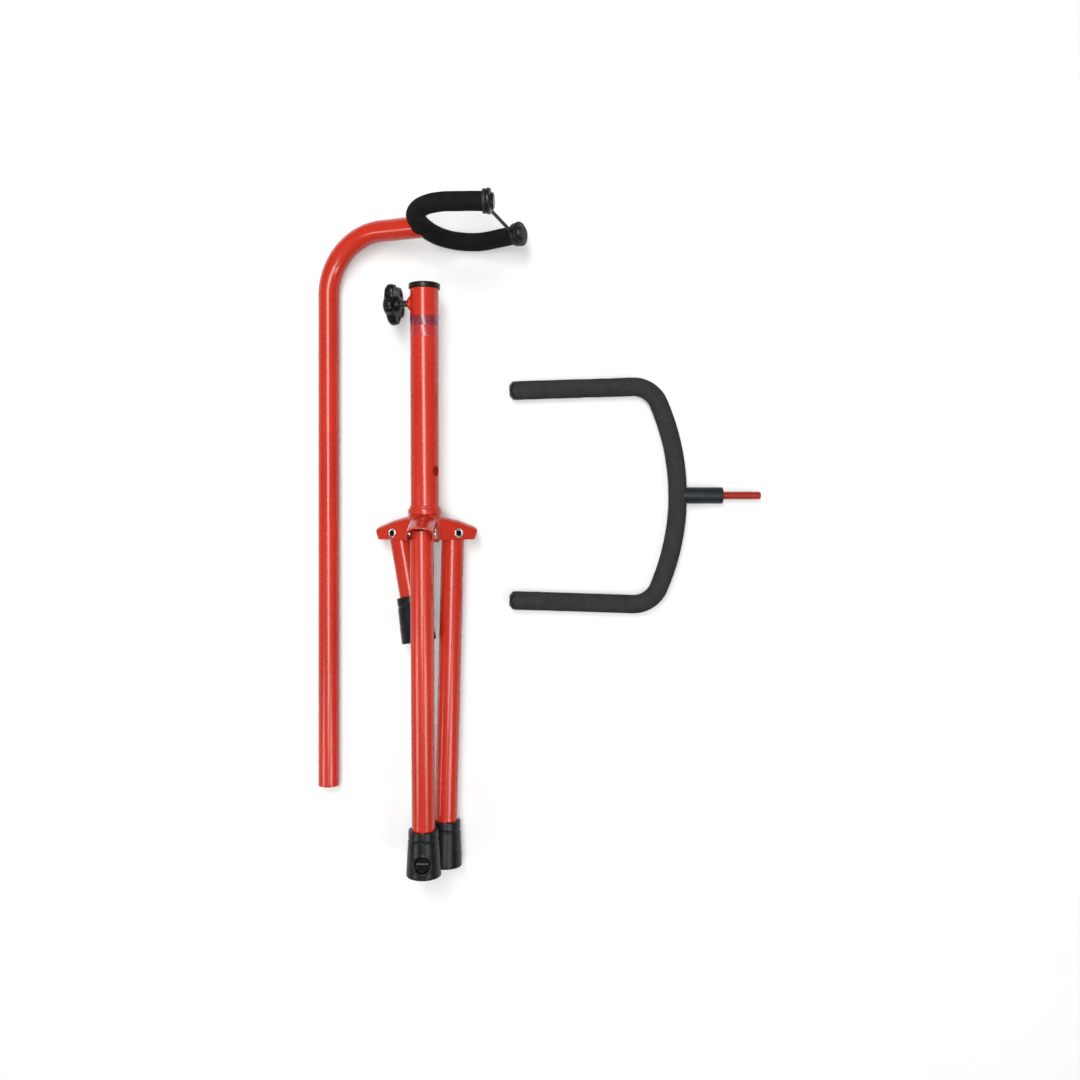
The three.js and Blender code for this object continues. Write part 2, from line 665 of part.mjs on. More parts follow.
function cradleCap({ station, outwards }) {
  const bore = CRADLE_ROD_D / 2 + GAP;
  const rodEnd = CRADLE_CAP_LENGTH - 1.5 + GAP;
  const rim = CRADLE_FOAM_D / 2;
  const cap = turned([
    [bore, GAP], [rim, GAP], [rim, 1.4], [rim - 0.9, 3], [rim - 2.4, CRADLE_CAP_LENGTH],
    [0, CRADLE_CAP_LENGTH], [0, rodEnd], [bore, rodEnd], [bore, GAP],
  ], ROUND);
  return atEnd(cap, station, outwards);
}

cradle.add(
  node('cradle_rod', swept(cradleRodRoute, CRADLE_ROD_D, 0, SMALL), bareSteel()),
  node('cradle_foam', cradleFoam(), foam()),
  node('cradle_cap_lower', cradleCap(cradleEnds[0]), blackPlastic()),
  node('cradle_cap_upper', cradleCap(cradleEnds[1]), blackPlastic()),
  node('stem_sleeve', stemSleeve(), foam()),
  node('cradle_pin', cradlePin(), redPaint()),
);

// ---------------------------------------------------------------- laying the kit out

// The base lies with its left leg uppermost, propped on its channel tips and right foot.
base.rotation.x = BASE_TILT - Math.PI / 2;
base.position.z = BASE_AXIS_HEIGHT;

// The neck tube lies flat and rolls over until the yoke's lower bend meets the floor.
const neckAxes = new THREE.Matrix4().makeBasis(
  new THREE.Vector3(Math.cos(NECK_ROLL), 0, Math.sin(NECK_ROLL)),
  new THREE.Vector3(Math.sin(NECK_ROLL), 0, -Math.cos(NECK_ROLL)),
  new THREE.Vector3(0, 1, 0),
);
neckPiece.quaternion.setFromRotationMatrix(neckAxes);
neckPiece.position.set(NECK_OFFSET, NECK_END, NECK_D / 2);

cradle.position.set(CRADLE_BACK, CRADLE_SHIFT, CRADLE_FOAM_D / 2);

kit.updateMatrixWorld(true);
const extent = new THREE.Box3().setFromObject(kit, true);
const middle = extent.getCenter(new THREE.Vector3());
kit.position.set(-middle.x, -middle.y, -extent.min.z);
kit.updateMatrixWorld(true);

export default kit;
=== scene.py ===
"""Looks of a knock-down tubular instrument stand, laid out flat as three loose pieces."""
import math

import bmesh
import bpy
import numpy as np
from mathutils import Matrix, Vector, noise


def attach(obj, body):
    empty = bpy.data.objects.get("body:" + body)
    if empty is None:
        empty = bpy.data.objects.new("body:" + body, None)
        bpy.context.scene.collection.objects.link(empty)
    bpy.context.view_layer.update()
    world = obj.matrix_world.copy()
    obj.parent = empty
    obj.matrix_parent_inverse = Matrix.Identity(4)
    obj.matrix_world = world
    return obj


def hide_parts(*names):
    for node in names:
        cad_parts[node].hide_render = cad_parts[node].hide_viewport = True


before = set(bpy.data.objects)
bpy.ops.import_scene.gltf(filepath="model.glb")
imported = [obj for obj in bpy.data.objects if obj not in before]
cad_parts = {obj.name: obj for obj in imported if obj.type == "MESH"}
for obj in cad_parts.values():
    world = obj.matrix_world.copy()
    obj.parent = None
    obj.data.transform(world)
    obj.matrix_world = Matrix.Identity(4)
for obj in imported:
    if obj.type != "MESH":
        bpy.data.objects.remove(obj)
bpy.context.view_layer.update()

MM = 0.001
DEG = math.pi / 180
TAU = 2 * math.pi

# ---------------------------------------------------------------- dimensions, in millimetres

# Heights on the base run up the main tube from the plane of the leg pivots. A name ending in D is a
# diameter. GAP parts two solids, FIT is the smaller gap between pieces pressed together.
GAP, FIT = 0.3, 0.05
MAIN_D, MAIN_WALL, MAIN_TOP, MAIN_BOTTOM, MAIN_RIM = 25.4, 1.2, 216.6, -8.0, 0.3
CAP_D, CAP_HEIGHT, BUSHING_DEPTH, BUSHING_CLEARANCE = 28.0, 5.0, 36.0, 0.35
PIN_HOLE_D, PIN_HOLE_HEIGHT, SCREW_HOLE_D, DRILL_REACH = 9.0, 55.2, 8.0, 20.0
COLLAR_D, COLLAR_BASE, COLLAR_HEIGHT = 30.0, 16.7, 5.2
WELD_SIZE, WELD_RIPPLES, WELD_LIFT = 1.25, 30, 0.9
LABEL_BOTTOM, LABEL_SPLIT, LABEL_TOP, LABEL_FILM = 173.4, 183.6, 192.2, 0.09
CLAMP_HEIGHT, CLAMP_AZIMUTH = 204.7, 167 * DEG
SCREW_D, SCREW_TIP, SCREW_LENGTH, SCREW_PITCH, SCREW_DEPTH = 6.0, 10.1, 23.5, 1.0, 0.45
BOSS_BASE_D, BOSS_TIP_D, BOSS_ROOT, BOSS_REACH = 14.0, 7.6, 9.2, 15.6
KNOB_D, KNOB_LOBES, KNOB_LOBE_DEPTH, KNOB_INNER_FACE, KNOB_THICKNESS = 37.4, 5, 4.2, 24.5, 9.0
KNOB_HUB_D, KNOB_HUB_REACH, KNOB_LOBE_START, KNOB_FLUTES, KNOB_FLUTE_DEPTH = 15.0, 2.6, 7.5, 40, 0.28
LEG_D, LEG_WALL, LEG_EYE_D, LEG_SHOULDER, PIVOT_RADIUS = 20.5, 1.1, 12.2, 2.6, 27.6
CHANNEL_SHEET, HUB_VOXEL, HUB_SMOOTHINGS = 1.2, 0.45, 6
RIVET_D, RIVET_BORE, RIVET_HEAD_D, RIVET_HEAD_HEIGHT = 6.0, 4.4, 9.2, 1.1
LONG_LEG, SHORT_LEG, LONG_LEG_LEAN, SHORT_LEG_LEAN = 302.5, 100.0, 1.7 * DEG, 12 * DEG
FOOT_LENGTH, FOOT_TOP_D, FOOT_END_D, FOOT_SOLE = 41.5, 26.4, 31.4, 4.0
FOOT_RECESS_D, FOOT_RECESS_DEPTH, FOOT_RECESS_HEIGHT = 14.5, 2.4, 13.5
RECESS_BAR, RECESS_BAR_HALF, RECESS_EDGE, RECESS_LIP = 0.5, 1.1, 0.6, 0.18
AZIMUTH = {"left": -90 * DEG, "right": 30 * DEG, "rear": 150 * DEG}
NECK_D, NECK_WALL, NECK_STRAIGHT, NECK_RIM = 19.05, 1.2, 448.5, 0.35
COPE_ZONE, COPE_MARGIN = 30.0, 5.5
SWELL_SCALE, DIMPLE_SCALE, FOLD_SCALE, FOLD_DRIFT = 0.055, 0.22, 1.35, 0.21
NECK_BEND_RADIUS, NECK_BEND_ANGLE, NECK_REACH = 54.0, 90 * DEG, 95.0
YOKE = dict(back=75.0, corner=36.0, half=46.0, toe=14 * DEG, arm=31.0)
YOKE_TILT, YOKE_ROD_D, YOKE_FOAM_D, YOKE_STEM_D, YOKE_STEM_DEPTH = -6 * DEG, 8.0, 16.2, 10.0, 26.0
YOKE_FLANGE_D, YOKE_CAP_LENGTH, YOKE_ROD_PROUD, YOKE_STEM_ROOT = 21.6, 6.2, 3.9, 4.2
STRAP_RING_D, STRAP_RING_WIDTH, STRAP_CORD_D, STRAP_SINK = 20.4, 3.4, 3.6, 0.4
CRADLE = dict(back=213.0, corner=25.0, half=99.6, toe=1.8 * DEG, arm=109.0)
CRADLE_ROD_D, CRADLE_FOAM_D, CRADLE_CAP_LENGTH, CRADLE_ROD_PROUD = 8.0, 17.0, 4.0, 2.4
STEM_SLEEVE_D, STEM_SLEEVE_END, PIN_D, PIN_ROOT, PIN_END = 15.0, 41.0, 7.0, 4.3, 76.0
BASE_TILT, NECK_ROLL = 1.57 * DEG, 19.4 * DEG

# The three loose pieces: the centre of the base's pivots, the foot of the neck tube, and the place where
# the cradle's stem meets its back.
BASE_ORIGIN = (-102.519, 8.593, 33.255)
NECK_ORIGIN = (-193.019, -222.207, 9.580)
CRADLE_ORIGIN = (126.481, 43.293, 8.555)

# How finely the pieces are made.
TUBE_SIDES, CAP_SIDES, SLEEVE_SIDES, BAR_SIDES, BOLT_SIDES = 96, 80, 72, 40, 64
LEG_SIDES, FOOT_SIDES, KNOB_SIDES = 128, 260, 240
ARC_STEP, NECK_BEND_STEPS, STRAP_STEPS = 1.5 * DEG, 60, 60
CREASE_ANGLE, FOAM_CREASE_ANGLE = 38 * DEG, 70 * DEG

# ---------------------------------------------------------------- places

BASE = Matrix.Translation(BASE_ORIGIN) @ Matrix.Rotation(BASE_TILT - math.pi / 2, 4, "X")
NECK = Matrix.Translation(NECK_ORIGIN) @ Matrix((
    (math.cos(NECK_ROLL), math.sin(NECK_ROLL), 0, 0),
    (0, 0, 1, 0),
    (math.sin(NECK_ROLL), -math.cos(NECK_ROLL), 0, 0),
    (0, 0, 0, 1),
))
CRADLE_PLACE = Matrix.Translation(CRADLE_ORIGIN)
BEND_END = Vector((NECK_BEND_RADIUS * (1 - math.cos(NECK_BEND_ANGLE)), 0,
                   NECK_STRAIGHT + NECK_BEND_RADIUS * math.sin(NECK_BEND_ANGLE)))
BENT = Vector((math.sin(NECK_BEND_ANGLE), 0, math.cos(NECK_BEND_ANGLE)))
BENT_LENGTH = (NECK_REACH - BEND_END.x) / BENT.x
YOKE_PLACE = (NECK @ Matrix.Translation(BEND_END + BENT * BENT_LENGTH)
              @ Matrix.Rotation(NECK_BEND_ANGLE - math.pi / 2, 4, "Y")
              @ Matrix.Rotation(YOKE_TILT, 4, "X") @ Matrix.Rotation(math.pi, 4, "Z"))


def outwards(azimuth, height):
    """Place of a piece built along +Z that points out of the main tube."""
    return (BASE @ Matrix.Translation((0, 0, height)) @ Matrix.Rotation(azimuth, 4, "Z")
            @ Matrix.Rotation(math.pi / 2, 4, "Y"))


def pivot_place(leg):
    """Place of a leg's pivot, with +X away from the main tube and the pivot's axis along Y."""
    return BASE @ Matrix.Rotation(AZIMUTH[leg], 4, "Z") @ Matrix.Translation((PIVOT_RADIUS, 0, 0))


def leg_place(leg):
    """Place of a leg built along Z, with its pivot at zero and its foot below."""
    lean = SHORT_LEG_LEAN if leg == "rear" else LONG_LEG_LEAN
    return pivot_place(leg) @ Matrix.Rotation(lean, 4, "Y")


# ---------------------------------------------------------------- paths

class Path:
    """A line through stations, with a place and a direction at every distance along it."""

    def __init__(self, points, directions, across):
        self.points = np.array(points, float)
        self.directions = np.array(directions, float)
        steps = np.linalg.norm(np.diff(self.points, axis=0), axis=1)
        self.at = np.concatenate([[0], np.cumsum(steps)])
        self.across = np.array(across, float)
        self.length = float(self.at[-1])
        self.known = {}

    def station(self, s):
        """Point, direction, normal and side at a distance; runs straight on past both ends."""
        key = round(s, 5)
        if key not in self.known:
            self.known[key] = self.measured(s)
        return self.known[key]

    def measured(self, s):
        inside = min(max(s, 0.0), self.length)
        point = np.array([np.interp(inside, self.at, self.points[:, k]) for k in range(3)])
        direction = np.array([np.interp(inside, self.at, self.directions[:, k]) for k in range(3)])
        direction /= np.linalg.norm(direction)
        point = point + direction * (s - inside)
        normal = np.cross(self.across, direction)
        normal /= np.linalg.norm(normal)
        return point, direction, normal, np.cross(direction, normal)


def u_path(back, corner, half, toe, arm):
    """A U lying flat: a back of one radius, two corners of another, and two straight arms."""
    rise = half - corner
    back_angle = math.asin(rise / (back - corner))
    corner_x = -back + (back - corner) * math.cos(back_angle)
    end_angle = math.pi / 2 + toe
    points, directions = [], []

    def arc(cx, cy, radius, start, end):
        count = max(8, int(abs(end - start) / ARC_STEP))
        for i in range(count + 1):
            a = start + (end - start) * i / count
            points.append((cx + radius * math.cos(a), cy + radius * math.sin(a), 0))
            directions.append((-math.sin(a), math.cos(a), 0))

    heading = Vector((math.cos(toe), -math.sin(toe), 0))
    first = Vector((corner_x + corner * math.cos(-end_angle), -rise + corner * math.sin(-end_angle), 0))
    points.append(tuple(first - heading * arm))
    directions.append(tuple(heading))
    arc(corner_x, -rise, corner, -end_angle, -back_angle)
    arc(-back, 0, back, -back_angle, back_angle)
    arc(corner_x, rise, corner, back_angle, end_angle)
    last, way = Vector(points[-1]), Vector(directions[-1])
    points.append(tuple(last + way * arm))
    directions.append(tuple(way))
    return Path(points, directions, (0, 0, 1))


def neck_path():
    points, directions = [(0, 0, 0)], [(0, 0, 1)]
    for i in range(NECK_BEND_STEPS + 1):
        a = NECK_BEND_ANGLE * i / NECK_BEND_STEPS
        aside = NECK_BEND_RADIUS * (1 - math.cos(a))
        points.append((aside, 0, NECK_STRAIGHT + NECK_BEND_RADIUS * math.sin(a)))
        directions.append((math.sin(a), 0, math.cos(a)))
    points.append(tuple(BEND_END + BENT * BENT_LENGTH))
    directions.append(tuple(BENT))
    return Path(points, directions, (0, 1, 0))


STRAIGHT = Path([(0, 0, 0), (0, 0, 1000)], [(0, 0, 1), (0, 0, 1)], (0, 1, 0))
YOKE_PATH = u_path(**YOKE)
CRADLE_PATH = u_path(**CRADLE)

# ---------------------------------------------------------------- meshes


def filleted(corners, closed=True, steps=4):
    """Rounds the corners of an outline of (radius, height, rounding)."""
    out = []
    count = len(corners)
    for i, (r, z, *rest) in enumerate(corners):
        rounding = rest[0] if rest else 0
        here = Vector((r, z))
        if rounding <= 0 or (not closed and i in (0, count - 1)):
            out.append((r, z))
            continue
        before = Vector(corners[i - 1][:2]) - here
        after = Vector(corners[(i + 1) % count][:2]) - here
        angle = before.angle(after)
        reach = min(rounding / math.tan(angle / 2), before.length * 0.49, after.length * 0.49)
        a, b = here + before.normalized() * reach, here + after.normalized() * reach
        for k in range(steps + 1):
            t = k / steps
            p = a * (1 - t) ** 2 + here * 2 * t * (1 - t) + b * t ** 2
            out.append((p.x, p.y))
    return out


def stepped(outline, step, closed=True):
    """Splits the long sides of an outline so that it can follow a bend."""
    out = []
    count = len(outline)
    for i in range(count if closed else count - 1):
        (r0, z0), (r1, z1) = outline[i], outline[(i + 1) % count]
        pieces = max(1, int(math.hypot(r1 - r0, z1 - z0) / step))
        out += [(r0 + (r1 - r0) * k / pieces, z0 + (z1 - z0) * k / pieces) for k in range(pieces)]
    if not closed:
        out.append(outline[-1])
    return out


def along(outline, sides, path=STRAIGHT, closed=True, shape=None):
    """Turns an outline of (radius, distance) about a path. `shape` may move each point:
    (radius, distance, angle) -> (radius, distance)."""
    angles = [TAU * k / sides for k in range(sides)]
    cosines, sines = np.cos(angles)[:, None], np.sin(angles)[:, None]
    rows = []
    for r, s in outline:
        if shape is None:
            point, _, normal, side = path.station(s)
            rows.append(point + r * (cosines * normal + sines * side))
            continue
        row = []
        for a, cosine, sine in zip(angles, cosines, sines):
            rr, ss = shape(r, s, a)
            point, _, normal, side = path.station(ss)
            row.append(point + rr * (cosine * normal + sine * side))
        rows.append(np.array(row))
    verts = [tuple(p) for p in np.concatenate(rows)]
    faces = []
    last = len(rows) if closed else len(rows) - 1
    for i in range(last):
        j = (i + 1) % len(rows)
        for k in range(sides):
            m = (k + 1) % sides
            faces.append((i * sides + k, i * sides + m, j * sides + m, j * sides + k))
    return verts, faces


def merged(*parts):
    """Several parts as one."""
    verts, faces = [], []
    for v, f in parts:
        offset = len(verts)
        verts += v
        faces += [tuple(i + offset for i in face) for face in f]
    return verts, faces


def moved(part, place):
    verts, faces = part
    return [tuple(place @ Vector(v)) for v in verts], faces


def placed_object(name, part, place, merge=0.001, narrow=0.0):
    """A new object in metres from a part in millimetres, with points closer than `merge` joined."""
    verts, faces = part
    mesh = bpy.data.meshes.new(name)
    mesh.from_pydata([tuple((place @ Vector(v)) * MM) for v in verts], [], faces)
    bm = bmesh.new()
    bm.from_mesh(mesh)
    bmesh.ops.remove_doubles(bm, verts=bm.verts, dist=merge * MM)
    if narrow:
        bmesh.ops.dissolve_degenerate(bm, dist=narrow * MM, edges=bm.edges)
    bmesh.ops.recalc_face_normals(bm, faces=bm.faces)
    bm.to_mesh(mesh)
    bm.free()
    piece = bpy.data.objects.new(name, mesh)
    bpy.context.scene.collection.objects.link(piece)
    return piece


def shade_smooth(mesh, sharp=None):
    mesh.polygons.foreach_set("use_smooth", [True] * len(mesh.polygons))
    if sharp is not None:
        mesh.set_sharp_from_angle(angle=sharp)


def mesh_object(name, part, place, material, body, replaces=(), sharp=CREASE_ANGLE):
    """A visible piece that rides a body and stands in for the named solids."""
    piece = placed_object(name, part, place, merge=0.001, narrow=0.0001)
    shade_smooth(piece.data, sharp)
    piece.data.materials.append(material)
    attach(piece, body)
    if replaces:
        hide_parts(*replaces)
    return piece


def evaluated_mesh(piece):
    """The piece's mesh with its modifiers worked out, which are then dropped."""
    depsgraph = bpy.context.evaluated_depsgraph_get()
    mesh = bpy.data.meshes.new_from_object(piece.evaluated_get(depsgraph))
    piece.modifiers.clear()
    piece.data = mesh
    return mesh


def cut_with(piece, *cutters):
    """Cuts holes in the shape of the cutters, which are then dropped."""
    for cutter in cutters:
        modifier = piece.modifiers.new("cut", "BOOLEAN")
        modifier.object = cutter
        modifier.solver = "EXACT"
        modifier.operation = "DIFFERENCE"
    mesh = evaluated_mesh(piece)
    for cutter in cutters:
        bpy.data.objects.remove(cutter)
    shade_smooth(mesh, CREASE_ANGLE)


def drill(diameter, bottom, top, sides, place):
    """A cutter in the shape of a plain bar."""
    radius = diameter / 2
    bar = along([(0, bottom), (radius, bottom), (radius, top), (0, top)], sides, closed=False)
    return placed_object("cutter", bar, place, merge=0.0001)


def add_inner_material(piece, material, centre, way, radius, near=-math.inf, far=math.inf):
    """Gives a second material to the faces inside a cylinder about the line from `centre` along `way`."""
    piece.data.materials.append(material)
    for face in piece.data.polygons:
        off = face.center - centre
        depth = off.dot(way)
        if (off - way * depth).length < radius and near < depth < far:
            face.material_index = 1


# ---------------------------------------------------------------- materials

MIDDLE = (0.3, 0.7)


class Nodes:
    """Writes a node material. Scales are per metre, bump heights in millimetres."""

    def __init__(self, name):
        self.material = bpy.data.materials.new(name)
        self.material.use_nodes = True
        self.tree = self.material.node_tree
        self.shader = self.tree.nodes["Principled BSDF"]
        self.place = self.tree.nodes.new("ShaderNodeTexCoord").outputs["Object"]

    def link(self, out, into):
        self.tree.links.new(out, into)

    def noise(self, scale, detail=4.0, roughness=0.55, stretch=None):
        node = self.tree.nodes.new("ShaderNodeTexNoise")
        node.inputs["Scale"].default_value = scale
        node.inputs["Detail"].default_value = detail
        node.inputs["Roughness"].default_value = roughness
        self.link(self.stretched(stretch), node.inputs["Vector"])
        return node.outputs["Fac"]

    def cells(self, scale):
        node = self.tree.nodes.new("ShaderNodeTexVoronoi")
        node.inputs["Scale"].default_value = scale
        self.link(self.place, node.inputs["Vector"])
        return node.outputs["Distance"]

    def stretched(self, stretch):
        if not stretch:
            return self.place
        node = self.tree.nodes.new("ShaderNodeMapping")
        node.inputs["Scale"].default_value = stretch
        self.link(self.place, node.inputs["Vector"])
        return node.outputs["Vector"]

    def tones(self, value, low, high, span=MIDDLE):
        """A colour that goes from one tone to another while the value crosses the span."""
        node = self.tree.nodes.new("ShaderNodeValToRGB")
        for element, position, tone in zip(node.color_ramp.elements, span, (low, high)):
            element.position = position
            element.color = (*tone, 1)
        self.link(value, node.inputs["Fac"])
        return node.outputs["Color"]

    def between(self, value, low, high, span=MIDDLE):
        """A number that goes from low to high while the value crosses the span."""
        node = self.tree.nodes.new("ShaderNodeMapRange")
        for socket, number in zip(("From Min", "From Max", "To Min", "To Max"), (*span, low, high)):
            node.inputs[socket].default_value = number
        self.link(value, node.inputs["Value"])
        return node.outputs["Result"]

    def mix(self, factor, a, b):
        node = self.tree.nodes.new("ShaderNodeMix")
        node.data_type = "RGBA"
        sockets = [s for s in node.inputs if s.enabled]
        for socket, value in zip(sockets, (factor, a, b)):
            if isinstance(value, tuple):
                socket.default_value = (*value, 1)
            else:
                self.link(value, socket)
        return [s for s in node.outputs if s.enabled][0]

    def bump(self, value, height, strength, under=None):
        node = self.tree.nodes.new("ShaderNodeBump")
        node.inputs["Distance"].default_value = height * MM
        node.inputs["Strength"].default_value = strength
        self.link(value, node.inputs["Height"])
        if under is not None:
            self.link(under, node.inputs["Normal"])
        return node.outputs["Normal"]

    def finish(self, colour, roughness, normal, **values):
        self.link(colour, self.shader.inputs["Base Color"])
        self.link(roughness, self.shader.inputs["Roughness"])
        self.link(normal, self.shader.inputs["Normal"])
        for name, value in values.items():
            self.shader.inputs[name.replace("_", " ")].default_value = value
        return self.material


def red_paint(name="red_paint", shade=1.0):
    """Glossy powder paint with a slight orange peel and a few darker specks."""
    n = Nodes(name)
    cloud = n.noise(scale=14, detail=3)
    fine = n.noise(scale=420, detail=3, roughness=0.6)
    low, high = (tuple(shade * c for c in tone) for tone in ((0.350, 0.018, 0.008), (0.405, 0.023, 0.010)))
    colour = n.tones(cloud, low, high)
    specks = n.between(n.noise(scale=900, detail=2), 0.0, 0.25, span=(0.68, 0.74))
    colour = n.mix(specks, colour, (0.27, 0.014, 0.008))
    roughness = n.between(n.noise(scale=60, detail=4), 0.22, 0.31)
    peel = n.bump(fine, height=0.03, strength=0.16)
    waves = n.bump(n.noise(scale=70, detail=1), height=0.3, strength=0.02, under=peel)
    return n.finish(colour, roughness, waves, Coat_Weight=0.34, Coat_Roughness=0.11, IOR=1.32)


def foam(name, low, high):
    """Closed-cell foam in a softly uneven skin, its cell hollows painted darker as painted shade."""
    n = Nodes(name)
    mottle = n.noise(scale=120, detail=5, roughness=0.65)
    pores = n.cells(scale=1500)
    grain = n.noise(scale=2600, detail=3, roughness=0.7)
    colour = n.tones(mottle, low, high, span=(0.25, 0.75))
    # Near the middle of each cell, where the skin dips, the colour is painted darker: painted shade in the
    # hollows.
    pit_shade = n.between(pores, 0.55, 1.0, span=(0.0, 0.35))
    dark = n.mix(pit_shade, (0.004, 0.004, 0.0043), colour)
    roughness = n.between(grain, 0.78, 0.95)
    skin = n.bump(n.noise(scale=330, detail=4, roughness=0.7), height=0.5, strength=0.45)
    cell = n.bump(pores, height=0.35, strength=0.55, under=skin)
    normal = n.bump(grain, height=0.2, strength=0.5, under=cell)
    return n.finish(dark, roughness, normal, Specular_IOR_Level=0.14, IOR=1.35)


def plastic(name, low, high, roughness, grain):
    """Moulded plastic with a fine texture of the given strength."""
    n = Nodes(name)
    colour = n.tones(n.noise(scale=90, detail=4), low, high)
    sheen = n.noise(scale=240, detail=4, roughness=0.7)
    rough = n.between(sheen, roughness - 0.07, roughness + 0.09)
    texture = n.bump(n.noise(scale=1800, detail=3, roughness=0.6), height=0.12, strength=grain)
    normal = n.bump(n.noise(scale=130, detail=2), height=0.3, strength=0.12, under=texture)
    return n.finish(colour, rough, normal, Specular_IOR_Level=0.28, IOR=1.42)


def rubber(name, low, high):
    """Black rubber with a little dust."""
    n = Nodes(name)
    colour = n.tones(n.noise(scale=70, detail=5, roughness=0.6), low, high)
    dust = n.between(n.noise(scale=260, detail=6, roughness=0.75), 0.0, 0.15, span=(0.60, 0.82))
    colour = n.mix(dust, colour, (0.04, 0.04, 0.04))
    rough = n.between(n.noise(scale=180, detail=4, roughness=0.7), 0.24, 0.34)
    texture = n.bump(n.noise(scale=1500, detail=3, roughness=0.65), height=0.15, strength=0.35)
    normal = n.bump(n.noise(scale=110, detail=2), height=0.3, strength=0.15, under=texture)
    return n.finish(colour, rough, normal, Specular_IOR_Level=0.26, IOR=1.42)


def steel(name, tone, roughness):
    """Plated steel, lightly brushed along one direction."""
    n = Nodes(name)
    shade = n.noise(scale=500, detail=4, roughness=0.6, stretch=(1, 0.15, 1))
    colour = n.tones(shade, tuple(0.8 * c for c in tone), tone)
    sheen = n.noise(scale=900, detail=4, roughness=0.7)
    rough = n.between(sheen, roughness - 0.08, roughness + 0.12)
    normal = n.bump(n.noise(scale=1400, detail=3, stretch=(1, 0.1, 1)), height=0.06, strength=0.4)
    return n.finish(colour, rough, normal, Metallic=1.0)


def label_film(name, low, high):
    """Printed film, a little uneven where it is stuck down."""
    n = Nodes(name)
    colour = n.tones(n.noise(scale=60, detail=3), low, high)
    rough = n.between(n.noise(scale=300, detail=3), 0.22, 0.34)
    normal = n.bump(n.noise(scale=160, detail=2), height=0.18, strength=0.2)
    return n.finish(colour, rough, normal, Coat_Weight=0.3, Coat_Roughness=0.15)


def floor_paper():
    """Plain matt white paper."""
    n = Nodes("pale_floor")
    colour = n.tones(n.noise(scale=6, detail=3), (0.64, 0.64, 0.64), (0.66, 0.66, 0.66))
    rough = n.between(n.noise(scale=40, detail=3), 0.75, 0.85)
    normal = n.bump(n.noise(scale=500, detail=3), height=0.1, strength=0.1)
    return n.finish(colour, rough, normal)


RED = red_paint()
PIN_RED = red_paint("pin_paint", 0.62)
CRADLE_FOAM = foam("cradle_foam_cells", (0.019, 0.019, 0.0197), (0.031, 0.031, 0.032))
YOKE_FOAM = foam("yoke_foam_cells", (0.0042, 0.0042, 0.0044), (0.0088, 0.0088, 0.0091))
BLACK = plastic("black_plastic", (0.004, 0.004, 0.0044), (0.009, 0.009, 0.0096), 0.28, 0.25)
KNOB_BLACK = plastic("knob_plastic", (0.0025, 0.0025, 0.0027), (0.0055, 0.0055, 0.0058), 0.26, 0.3)
STRAP_BLACK = plastic("strap_rubber", (0.008, 0.008, 0.0085), (0.015, 0.015, 0.016), 0.42, 0.4)
SLEEVE_BLACK = plastic("sleeve_rubber", (0.006, 0.0072, 0.0083), (0.011, 0.013, 0.015), 0.4, 0.3)
RUBBER = rubber("foot_rubber", (0.0040, 0.0047, 0.0056), (0.0085, 0.0098, 0.0113))
# A darker rubber for inside the feet's recesses: painted shade in the hollow.
RECESS_SHADE_RUBBER = rubber("recess_painted_shade_rubber", (0.0012, 0.0013, 0.0014), (0.0026, 0.0028, 0.003))
STEEL = steel("zinc_steel", (0.80, 0.79, 0.76), 0.26)
DARK_STEEL = steel("black_oxide_steel", (0.11, 0.11, 0.10), 0.38)
# A dark steel for inside the rivets' bores: painted shade in the holes.
BORE_SHADE_STEEL = steel("bore_painted_shade_steel", (0.05, 0.045, 0.04), 0.6)
DARK_LABEL = label_film("label_film_dark", (0.105, 0.013, 0.026), (0.20, 0.018, 0.028))
LIGHT_LABEL = label_film("label_film_light", (0.30, 0.017, 0.020), (0.37, 0.021, 0.015))

# ---------------------------------------------------------------- main tube

main_radius = MAIN_D / 2
main_bore = main_radius - MAIN_WALL
main_outline = filleted([
    (main_radius, MAIN_BOTTOM, MAIN_RIM), (main_radius, MAIN_TOP, MAIN_RIM),
    (main_bore, MAIN_TOP, MAIN_RIM), (main_bore, MAIN_BOTTOM, MAIN_RIM),
], steps=3)
main_tube = mesh_object("main_tube_skin", along(main_outline, TUBE_SIDES), BASE, RED, "base",
                        ["main_tube"])
# The cradle's pin hole goes through both walls, the screw's only through one.
cut_with(main_tube,
         drill(PIN_HOLE_D, -DRILL_REACH, DRILL_REACH, 48, outwards(AZIMUTH["rear"], PIN_HOLE_HEIGHT)),
         drill(SCREW_HOLE_D, 0, DRILL_REACH, 32, outwards(CLAMP_AZIMUTH, CLAMP_HEIGHT)))

bore = NECK_D / 2 + BUSHING_CLEARANCE
sleeve = main_bore - GAP
bushing = filleted([
    (bore, MAIN_TOP - BUSHING_DEPTH, 0.3), (sleeve, MAIN_TOP - BUSHING_DEPTH, 0.4), (sleeve, MAIN_TOP + GAP),
    (CAP_D / 2, MAIN_TOP + GAP, 0.3), (CAP_D / 2, MAIN_TOP + CAP_HEIGHT, 1.3),
    (bore, MAIN_TOP + CAP_HEIGHT, 0.8),
], steps=6)
mesh_object("bushing_moulding", along(bushing, TUBE_SIDES), BASE, BLACK, "base", ["top_bushing"])

collar = filleted([
    (main_radius + FIT, COLLAR_BASE), (COLLAR_D / 2, COLLAR_BASE, 0.8),
    (COLLAR_D / 2, COLLAR_BASE + COLLAR_HEIGHT, 1.8), (main_radius + FIT, COLLAR_BASE + COLLAR_HEIGHT),
], steps=6)
mesh_object("collar_ring", along(collar, TUBE_SIDES), BASE, RED, "base", ["hub_collar"])


